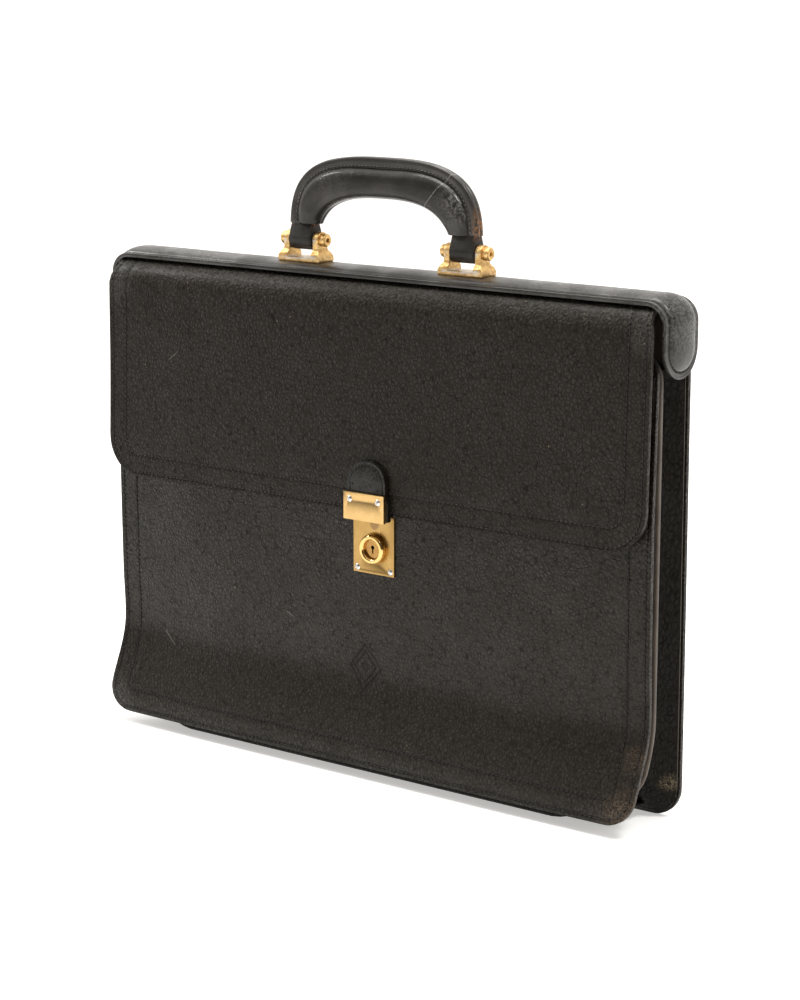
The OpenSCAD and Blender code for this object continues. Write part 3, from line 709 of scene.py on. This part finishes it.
def front_panel(ink):
    skin = sheet_piece("front_leather", front_form, PANEL_HALF, FRONT_FOOT, FRONT_TOP, PANEL_CORNER,
                       PANEL_TOP_CORNER, 2.7, groove=sewn_groove, edge=0.8)
    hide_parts("front_panel", "front_board")
    dress(skin, "front", "grained_leather", ink["front"], ink["suede"], ink["worn_edge"])
    lining = sheet_piece("front_suede", front_form, PANEL_HALF - LINING_IN, FRONT_FOOT + LINING_IN,
                         FRONT_TOP - LINING_IN, PANEL_CORNER - LINING_IN, PANEL_TOP_CORNER - LINING_IN,
                         0.75, depth=LINING_DEEP, marks=PLAIN_MARKS, step=7, edge=0.2)
    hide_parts("front_lining")
    dress(lining, "front", "suede_lining", *[ink["suede"]] * 3)
    border_seams("front", front_form, PANEL_HALF, FRONT_FOOT, FRONT_TOP - 4, PANEL_CORNER, "front", ink)


def flap(ink):
    skin = sheet_piece("flap_skin", flap_form, FLAP_HALF, 0, FLAP_LONG, FLAP_CORNER, 3, 2.9,
                       groove=sewn_groove, edge=1.0)
    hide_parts("flap_leather", "flap_board")
    dress(skin, None, "grained_leather", ink["flap"], ink["suede"], ink["edge"])
    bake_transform(skin)
    lining = sheet_piece("flap_suede", flap_form, FLAP_HALF - 1.2, 1.2, FLAP_LONG - 15, FLAP_CORNER - 1.2, 3,
                         0.8, depth=3.0, marks=PLAIN_MARKS, step=7, edge=0.2)
    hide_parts("flap_lining")
    dress(lining, "flap", "suede_lining", *[ink["suede"]] * 3)
    border_seams("flap", flap_form, FLAP_HALF, 0, FLAP_LONG - 3, FLAP_CORNER, None, ink)


def back_panel(ink):
    skin = sheet_piece("back_skin", back_form, PANEL_HALF, 0, BACK_TOP, PANEL_CORNER, PANEL_TOP_CORNER, 2.7,
                       groove=sewn_groove, flip=True)
    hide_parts("back_panel", "back_board")
    dress(skin, "case", "grained_leather", ink["back"], ink["suede"], ink["edge"])
    lining = sheet_piece("back_suede", back_form, PANEL_HALF - LINING_IN, LINING_IN, 299,
                         PANEL_CORNER - LINING_IN, PANEL_TOP_CORNER - LINING_IN, 0.75, depth=LINING_DEEP,
                         marks=PLAIN_MARKS, step=7, edge=0.2, flip=True)
    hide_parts("back_lining")
    dress(lining, "case", "suede_lining", *[ink["suede"]] * 3)
    border_seams("back", back_form, PANEL_HALF, 0, 296, PANEL_CORNER, "case", ink)


def divider(ink):
    skin = sheet_piece("divider_panel", divider_form, 199, 19.6, 271.6, PANEL_CORNER, PANEL_TOP_CORNER, 3.0,
                       marks=(0, 1, 2.2, 3, 4), step=6, edge=0.9)
    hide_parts("divider_facing", "divider_board", "divider_lining")
    dress(skin, "divider", "suede_lining", ink["suede"], ink["suede"], ink["edge"])


# ---------------------------------------------------------------- gussets and bottom

def side_line(t, half, top, low, r, foot):
    """A point going down the right side, round the corner and along the foot, and the way in from it."""
    t = np.asarray(t, float)
    down, corner = 0.62, 0.26  # shares of the run that are the side and the corner
    a = np.clip(t / down, 0, 1)
    b = np.clip((t - down) / corner, 0, 1) * math.pi / 2
    c = np.clip((t - down - corner) / (1 - down - corner), 0, 1)
    x = half - r + r * np.cos(b) - foot * c
    z = top + (low + r - top) * a - r * np.sin(b)
    return x, z, -np.cos(b), np.sin(b)


def gusset_wall(name, rear_y, front_y, rear, front, fold, creased, side):
    """One side wall: leather folded in between two edges, with a mitred pleat at the corner."""
    obj = flat_cut(name, np.linspace(0, 1, 17), np.linspace(0, 1, 73))

    def shape(c, t, z):
        x0, z0, in_x, in_z = side_line(t, *rear)
        x1, z1, _, _ = side_line(t, *front)
        px, pz = x0 + (x1 - x0) * c, z0 + (z1 - z0) * c
        py = rear_y(z0) + (front_y(z1) - rear_y(z0)) * c
        tent = 1 - np.abs(2 * c - 1) ** 1.5
        deep = fold * (1 - 0.55 * ease((t - 0.78) / 0.2))
        pleat = creased * bell(t, 0.75, 0.055) * bell(c, 0.55, 0.33)
        soft = (0.5 * np.sin(t * 23.0) + 0.3 * np.sin(t * 57 + c * 4)) * np.sin(c * math.pi)
        reach = deep * tent + pleat + soft * (1 - 0.6 * ease((t - 0.6) / 0.3))
        return side * (px + in_x * reach) * MM, py * MM, (pz + in_z * reach) * MM

    form(obj, shape)
    modify(obj, "SOLIDIFY", thickness=1.0 * MM, offset=0, use_even_offset=True)
    return smooth(face_outward(obj), 60)


def joined(name, pieces):
    leave_alone()
    for p in pieces:
        p.select_set(True)
    bpy.context.view_layer.objects.active = pieces[0]
    if len(pieces) > 1:
        bpy.ops.object.join()
    pieces[0].name = pieces[0].data.name = name
    return pieces[0]


def flared(y):
    """How far back a sheet stands at each height: at y, and further forward where it flares."""
    return lambda z: y - FLARE_OUT * flare(z)


def gussets(ink):
    def both_walls(name, *shape):
        return joined(f"{name}_gusset_leather",
                      [gusset_wall(f"{name}_wall{side}", *shape, side) for side in (1, -1)])

    rear = both_walls("rear", lambda z: 24.6 - 1.6 * z / 300, flared(DIVIDER_Y + 3.0),
                      REAR_EDGE, DIVIDER_EDGE, 12.0, 5.5)
    dress(rear, None, "grained_leather", ink["gusset"])
    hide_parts("rear_gusset")
    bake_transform(rear)
    front = both_walls("front", flared(DIVIDER_Y - 0.1), flared(-10.0), DIVIDER_EDGE, FRONT_EDGE, 3.0, 1.0)
    dress(front, None, "grained_leather", ink["gusset"])
    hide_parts("front_gusset")
    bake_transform(front)


def bottom(ink):
    """The rear compartment's bottom: flat on the floor, turned up at the front to the divider's foot."""
    profile = [(24.2, 0.6), (20, 0.6), (8, 0.6), (-5, 0.6), (-12.5, 0.6), (-15.8, 1.0), (-17.3, 2.8),
               (-17.9, 6.5), (-18.2, 12), (-18.6, 19.8)]
    half, turned_up = 181, 138
    obj = flat_cut("bottom_skin", np.linspace(-half, half, 62), np.linspace(0, 1, 37))

    def shape(x, t, z):
        y, h = along(profile, t)
        y = y + 0.5 * np.sin(x / 29.0) * ease((t - 0.5) * 2)
        rise = ease((np.abs(x) - turned_up) / (half - turned_up))
        return x * MM, y * MM, (h + (17.5 - 0.72 * np.maximum(h, 0) - 11 * (1 - t)) * rise) * MM

    form(obj, shape)
    modify(obj, "SOLIDIFY", thickness=1.1 * MM, offset=0, use_even_offset=True)
    face_outward(obj)
    form(obj, lambda x, y, z: (x, y, np.maximum(z, 0)))
    smooth(obj, 60)
    dress(obj, "case", "grained_leather", ink["gusset"])
    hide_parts("bottom_leather", "bottom_board")


# ---------------------------------------------------------------- bar

def bar_place(v, u, h):
    """A point of the cover: v across the bar, u along it from the middle, h above the rim."""
    side, au = np.where(u < 0, -1.0, 1.0), np.abs(u)
    turn = np.clip((au - TURN_X) / TURN_R, 0, math.pi / 2)
    past = np.maximum(0, au - TURN_X - TURN_R * math.pi / 2)
    x = np.where(au < TURN_X, au, TURN_X + (TURN_R + h) * np.sin(turn))
    z = np.where(au < TURN_X, RIM_Z + h, TURN_Z + (TURN_R + h) * np.cos(turn) - past)
    return side * x, BAR_Y - v, z


BAR_END = TURN_X + TURN_R * math.pi / 2 + (TURN_Z - EAR_FOOT)


def crown(inside):
    """Height of the cover over its rim, by distance in from the edge."""
    foot, high = 4.2, 3.2
    t = np.clip((inside - foot) / (BAR_HALF - foot), 0, 1)
    dome = high * (1 - (1 - t) ** 2.3) ** 0.62
    return dome - 0.6 * bell(inside, 3.9, 0.5) - 0.12 * bell(inside, 1.9, 0.3)


def bar_cover(ink):
    marks = (0, 0.45, 0.9, 1.5, 1.9, 2.3, 2.9, 3.4, 3.9, 4.3, 4.7, 5.3, 6.2, 7.6, 9.5, 12)
    obj = flat_cut("bar_cover_padded", spaced(-BAR_HALF, BAR_HALF, 2.7, marks, marks),
                   spaced(-BAR_END, BAR_END, 1.9, marks, marks))

    def round_ends(x, y, z):
        x, y = rounded(x, y, BAR_HALF, -BAR_END, BAR_END, 17.39, 17.39)
        return x * MM, y * MM, z

    form(obj, round_ends)
    modify(obj, "SOLIDIFY", thickness=2.5 * MM, offset=-1, use_even_offset=True, material_offset_rim=1)
    round_edges(obj, 0.4 * MM, 2)

    def shape(x, y, z):
        v, u, h = x / MM, y / MM, z / MM
        straight = np.clip(u, -BAR_END + BAR_HALF, BAR_END - BAR_HALF)
        inside = BAR_HALF - np.hypot(v, u - straight)
        pad = crown(inside) * (1 + 0.05 * np.sin(u / 23.0) * np.sin(u / 61.0 + 1))
        h = np.where(h > -1.3, h + pad, h)
        return [c * MM for c in bar_place(v, u, h)]

    form(obj, shape)
    smooth(obj, 45)
    dress(obj, "case", "smooth_leather", ink["bar"], ink["edge"])
    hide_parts("bar_cover")
    r, reach = BAR_HALF - 4.0, BAR_END - BAR_HALF
    a = [(-r, t) for t in np.arange(-reach, reach, 2.0)]
    b = [(-r * math.cos(w), reach + r * math.sin(w)) for w in np.linspace(0, math.pi, 25)]
    loop = np.array(a + b + [(-p, -q) for p, q in a + b])
    here = np.stack(bar_place(loop[:, 0], loop[:, 1], np.full(len(loop), -0.35)), 1)
    over = np.stack(bar_place(loop[:, 0], loop[:, 1], np.full(len(loop), 0.5)), 1)
    sewn_line("bar_stitches", here, over - here, "case", ink["thread"], "smooth_leather",
              pitch=2.9, long=2.1, thick=0.6)


def flap_tail(ink):
    """The flap's leather carried on under the bar, where the screws clamp it."""
    profile = [(20.6, 295.8), (8, 295.8), (-1, 295.8), (-4, 295.6), (-6.2, 294.6), (-7.6, 292.8),
               (-8.2, 290.6)]
    obj = flat_cut("flap_tail_leather", np.linspace(-188, 188, 64), np.linspace(0, 1, 25))
    form(obj, lambda x, t, z: [c * MM for c in (x, *along(profile, t))])
    modify(obj, "SOLIDIFY", thickness=1.5 * MM, offset=0, use_even_offset=True)
    round_edges(obj, 0.3 * MM, 1)
    smooth(obj, 60)
    dress(obj, "case", "grained_leather", ink["back"])
    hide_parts("flap_tail")


# ---------------------------------------------------------------- handle

def arch_line(a, b, power, low, n):
    """Points over an arch from its left foot to its right foot, evenly spaced, cut off at low."""
    t = np.linspace(0, math.pi, 721)
    x = -a * np.sign(np.cos(t)) * np.abs(np.cos(t)) ** (2 / power)
    z = b * np.sin(t) ** (2 / power)
    keep = z >= low
    x, z = x[keep], z[keep]
    run = np.concatenate([[0], np.cumsum(np.hypot(np.diff(x), np.diff(z)))])
    at = np.linspace(0, run[-1], n)
    return np.stack([np.interp(at, run, x), np.interp(at, run, z)], 1)


STATIONS = 97
ARCH_OUT = arch_line(70, 51.6, 3.1, 9.5, STATIONS)
ARCH_IN = arch_line(49, 27.3, 2.6, 9.5, STATIONS)


def handle_place(station, s, w):
    """A point of the handle: station along it, s in from its outer edge, w forward of its middle plane."""
    k = np.linspace(0, 1, STATIONS)
    out = np.stack([np.interp(station, k, ARCH_OUT[:, i]) for i in (0, 1)], 1)
    inn = np.stack([np.interp(station, k, ARCH_IN[:, i]) for i in (0, 1)], 1)
    way = inn - out
    wide = np.linalg.norm(way, axis=1)
    way /= wide[:, None]
    s = np.where(s > 50, wide + s - 100, s)
    return out[:, 0] + way[:, 0] * s, BAR_Y - w, PIVOT_Z + out[:, 1] + way[:, 1] * s


def swept(name, section, drawn_in=0.0):
    """Sweeps a closed section along the handle; s above 50 is counted from the inner edge, from 100."""
    section = section + section[:1]
    obj = flat_cut(name, np.linspace(0, 1, len(section)), np.linspace(0, 1, STATIONS))

    def shape(c, t, z):
        s, w = along(section, c)
        w = w * (1 - drawn_in * (1 - ease(np.minimum(t, 1 - t) / 0.07)))
        return [p * MM for p in handle_place(t, s, w)]

    form(obj, shape)
    with edited(obj):
        bpy.ops.mesh.remove_doubles(threshold=1e-6)
        bpy.ops.mesh.select_all(action="DESELECT")
        bpy.ops.mesh.select_non_manifold()
        bpy.ops.mesh.fill_holes(sides=0)
    return face_outward(obj)


def handle(ink):
    half = [(0.5, 0.0), (0.12, 0.35), (0.0, 0.9), (0.0, 2.2), (0.25, 2.75), (0.8, 3.1), (2.6, 3.15),
            (4.6, 3.1), (5.2, 2.85), (5.8, 3.1), (6.3, 3.25), (6.7, 3.0), (98.0, 3.0)]
    flange = swept("handle_flange", half + [(s, -w) for s, w in half[:0:-1]])
    round_edges(flange, 0.5 * MM, 2, 70)
    smooth(flange, 38)
    dress(flange, "handle", "handle_leather", ink["handle_edge"])
    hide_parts("handle_core")
    pad = [(6.75, 2.7), (6.85, 3.6), (7.3, 4.5), (8.1, 5.5), (9.3, 6.4), (10.9, 7.05), (12.6, 7.4),
           (93.2, 7.5), (95.0, 7.2), (96.7, 6.5), (98.0, 5.4), (99.0, 4.0), (99.6, 2.6), (99.95, 1.4),
           (99.9, 0.75), (99.5, 0.35), (98.6, 0.3), (97.4, 1.6)]
    for name, node, side in (("handle_front_belly", "handle_front_pad", 1),
                             ("handle_rear_belly", "handle_rear_pad", -1)):
        obj = swept(name, [(s, side * w) for s, w in pad], 0.22)
        round_edges(obj, 0.9 * MM, 3, 60)
        smooth(obj, 50)
        dress(obj, "handle", "handle_leather", ink["handle"])
        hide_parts(node)
        t = np.linspace(0.004, 0.996, 200)
        here = np.stack(handle_place(t, np.full(200, 5.1), np.full(200, side * 2.95)), 1)
        over = np.tile([0.0, -side, 0.0], (200, 1))
        sewn_line(name.replace("belly", "stitches"), here, over, "handle", ink["dusty_thread"],
                  "handle_leather", pitch=2.7, long=1.9, thick=0.6)


def handle_ends(ink):
    """A strap folded round each bush, its two ends going up between the halves of the handle."""
    ends = []
    for side in (-1, 1):
        leave_alone()
        bpy.ops.mesh.primitive_circle_add(vertices=48, radius=1, fill_type="NGON")
        obj = named(f"handle_end{side}")

        def teardrop(x, y, z):
            turn = np.arctan2(x, -y)
            leaves = 1.75  # the turn at which the strap leaves the round of its eye
            high = np.clip((np.abs(turn) - leaves) / (math.pi - leaves), 0, 1)
            round_x, round_y = STRAP_R * np.sin(turn), -STRAP_R * np.cos(turn)
            neck_x = np.sign(turn) * np.interp(high, [0, 0.62, 1], [6.3, 3.0, 0])
            neck_y = np.interp(high, [0, 0.62, 1], [1.14, 10.6, 10.8])
            up = high > 0
            return np.where(up, neck_x, round_x) * MM, np.where(up, neck_y, round_y) * MM, z

        form(obj, teardrop)
        with edited(obj):
            bpy.ops.mesh.extrude_region_move(TRANSFORM_OT_translate={"value": (0, 0, STRAP_WIDE * MM)})
        round_edges(face_outward(obj), 1.0 * MM, 3, 60)
        left = side * PIVOT_X - STRAP_WIDE / 2
        form(obj, lambda x, y, z: (left * MM + z, BAR_Y * MM + x, PIVOT_Z * MM + y))
        ends.append(smooth(face_outward(obj), 45))
    obj = joined("handle_end_wraps", ends)
    dress(obj, "handle", "handle_leather", ink["handle_end"])
    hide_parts("handle_ends")


# ---------------------------------------------------------------- tab and metal

def flap_tab(ink):
    """Round-topped tab, sewn on the flap, that carries the hasp plate."""
    half, low, top = 14.2, 160.2, 195.2
    cols = spaced(-half, half, 1.4, (0, 0.6, 1.3, 1.9, 2.5), (0, 0.6, 1.3, 1.9, 2.5))
    rows = spaced(low, top, 1.4, (0, 0.6, 1.3), (0, 0.6, 1.3, 1.9, 2.5))
    obj = flat_cut("hasp_tab", cols, rows)

    def cut(x, y, z):
        inside = np.minimum(half - np.abs(x), top - y)
        x, y = rounded(x, y, half, low, top, 0.6, 13.2)
        x = x + 2.2 * ease((176 - y) / 6) * np.clip(x / half, 0, 1)
        rest = flap_face(y) + 0.1
        proud = np.interp(y, [low, 177, 184, top], [3.15, 3.15, 3.4, 2.9])
        sunk = 0.35 * bell(inside, 2.0, 0.4) - 0.25 * bell(inside, 8, 4) * (y > 177)
        return (LOCK_X + x) * MM, (rest - proud + sunk) * MM, y * MM

    form(obj, cut)
    modify(obj, "SOLIDIFY", thickness=3.2 * MM, offset=-1, use_even_offset=True, material_offset_rim=1)
    round_edges(obj, 0.8 * MM, 3)
    smooth(obj, 50)
    dress(obj, "flap", "grained_leather", ink["tab"], ink["worn_edge"])
    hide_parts("flap_tab")
    reach, plate_top, arc_z = 12.2, 176.8, 181.4
    rise = [(LOCK_X - reach, z) for z in np.arange(plate_top, arc_z, 1.0)]
    arc = [(LOCK_X - reach * math.cos(a), arc_z + 11.8 * math.sin(a)) for a in np.linspace(0, math.pi, 40)]
    fall = [(LOCK_X + reach, z) for z in np.arange(181.0, plate_top, -1.0)]
    here = np.array([(x, flap_face(z) - 2.9, z) for x, z in rise + arc + fall])
    sewn_line("tab_stitches", here, np.tile([0.0, -1.0, 0.0], (len(here), 1)), "flap", ink["thread"],
              "grained_leather", pitch=2.5, long=1.8, thick=0.6)


def eased(node, name, width, body, slot, finish, segments=2, angle=32):
    """A metal piece with its sharp corners taken off."""
    source = NODES[node]
    obj = source.copy()
    obj.data = source.data.copy()
    bpy.context.scene.collection.objects.link(obj)
    for key in list(obj.keys()):
        del obj[key]
    obj.parent = None
    obj.hide_render = obj.hide_viewport = False
    obj.name = obj.data.name = name
    obj.data.materials.clear()
    with edited(obj):
        bpy.ops.mesh.remove_doubles(threshold=2e-6)
        bpy.ops.mesh.dissolve_limited(angle_limit=math.radians(1.0))
    round_edges(obj, width * MM, segments, angle)
    smooth(obj, 30)
    dress(obj, body, slot, finish)
    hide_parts(node)
    return obj


def metal(ink):
    eased("handle_brackets", "brackets_cast", 0.55, "case", "cast_brass", ink["cast"], 3)
    eased("pivot_bolts", "bolts_headed", 0.22, "case", "cast_brass", ink["bolt"])
    eased("pivot_caps", "bolt_caps", 0.3, "case", "cast_brass", ink["bolt"])
    eased("hasp_plate", "hasp_plain", 0.28, "flap", "brushed_brass", ink["hasp"])
    eased("lock_plate", "plate_brushed", 0.22, "front", "brushed_brass", ink["plate"])
    eased("lock_ring", "ring_polished", 0.25, "front", "polished_brass", ink["ring"])
    for node, finish in {
        "handle_bushes": "bolt", "catch": "plate", "ring_nut": "plate", "lock_button": "plug",
        "key_plug": "plug", "bar_core": "blackened", "bracket_screws": "steel",
        "hasp_screws": "steel", "lock_screws": "steel",
        "lock_case": "dull_steel", "latch_leaf": "steel", "button_spring": "steel", "key_cam": "dull_steel",
    }.items():
        mesh = NODES[node].data
        if len(mesh.materials):
            mesh.materials[0] = ink[finish]
        else:
            mesh.materials.append(ink[finish])


# ---------------------------------------------------------------- studio

def studio():
    leave_alone()
    bpy.ops.mesh.primitive_plane_add(size=80, location=(0, 0, -0.0003))
    floor = named("floor")
    white = bpy.data.materials.new("floor_white")
    white.use_nodes = True
    shader = white.node_tree.nodes["Principled BSDF"]
    shader.inputs["Base Color"].default_value = (0.80, 0.79, 0.78, 1)
    shader.inputs["Roughness"].default_value = 0.7
    shader.inputs["Emission Color"].default_value = (1.0, 0.98, 0.955, 1)
    shader.inputs["Emission Strength"].default_value = 0.46
    floor.data.materials.append(white)

    world = bpy.data.worlds.new("studio")
    bpy.context.scene.world = world
    sky = Nodes(world)
    white = 1.15
    way = sky.node("ShaderNodeTexCoord").outputs["Generated"]
    dot = sky.node("ShaderNodeVectorMath", {"operation": "DOT_PRODUCT"}, {0: way, 1: (-0.42, 0.72, 0.55)})
    glow = sky.node("ShaderNodeMapRange", {}, {
        "Value": dot.outputs["Value"], "From Min": -0.35, "From Max": 0.6, "To Min": 0.12, "To Max": white})
    seen = sky.node("ShaderNodeLightPath").outputs["Is Camera Ray"]
    strength = sky.node("ShaderNodeMix", {}, {0: seen, 2: glow.outputs[0], 3: white})
    back = sky.node("ShaderNodeBackground", {}, {
        "Color": (1.0, 0.97, 0.93, 1), "Strength": strength.outputs[0]})
    sky.node("ShaderNodeOutputWorld", {}, {0: back.outputs[0]})

    def softbox(name, place, aim, size, watts):
        lamp = bpy.data.lights.new(name, "AREA")
        lamp.shape, lamp.size, lamp.energy = "SQUARE", size, watts
        obj = bpy.data.objects.new(name, lamp)
        bpy.context.scene.collection.objects.link(obj)
        obj.location = place
        obj.rotation_euler = (Vector(aim) - Vector(place)).to_track_quat("-Z", "Y").to_euler()

    softbox("key_overhead", (-0.3, 0.1, 2.3), (0, 0, 0.1), 1.4, 44)
    softbox("raking_left", (-1.9, -0.6, 1.75), (0, 0, 0.15), 0.5, 17)
    softbox("top_right", (1.15, -0.25, 2.0), (0.05, 0, 0.25), 0.5, 27)

    lens = bpy.data.cameras.new("camera")
    lens.lens, lens.sensor_width, lens.clip_end = 90, 36, 200
    camera = bpy.data.objects.new("camera", lens)
    bpy.context.scene.collection.objects.link(camera)
    camera.location = (0.89867, -1.16586, 0.48365)
    camera.rotation_euler = Vector((-0.58952, 0.77984, -0.21051)).to_track_quat("-Z", "Y").to_euler()
    bpy.context.scene.camera = camera
    bpy.context.scene.view_settings.view_transform = "Standard"


INK = make_finishes()
studio()
bar_cover(INK)
flap_tail(INK)
back_panel(INK)
bottom(INK)
divider(INK)
front_panel(INK)
flap(INK)
gussets(INK)
handle(INK)
handle_ends(INK)
flap_tab(INK)
metal(INK)
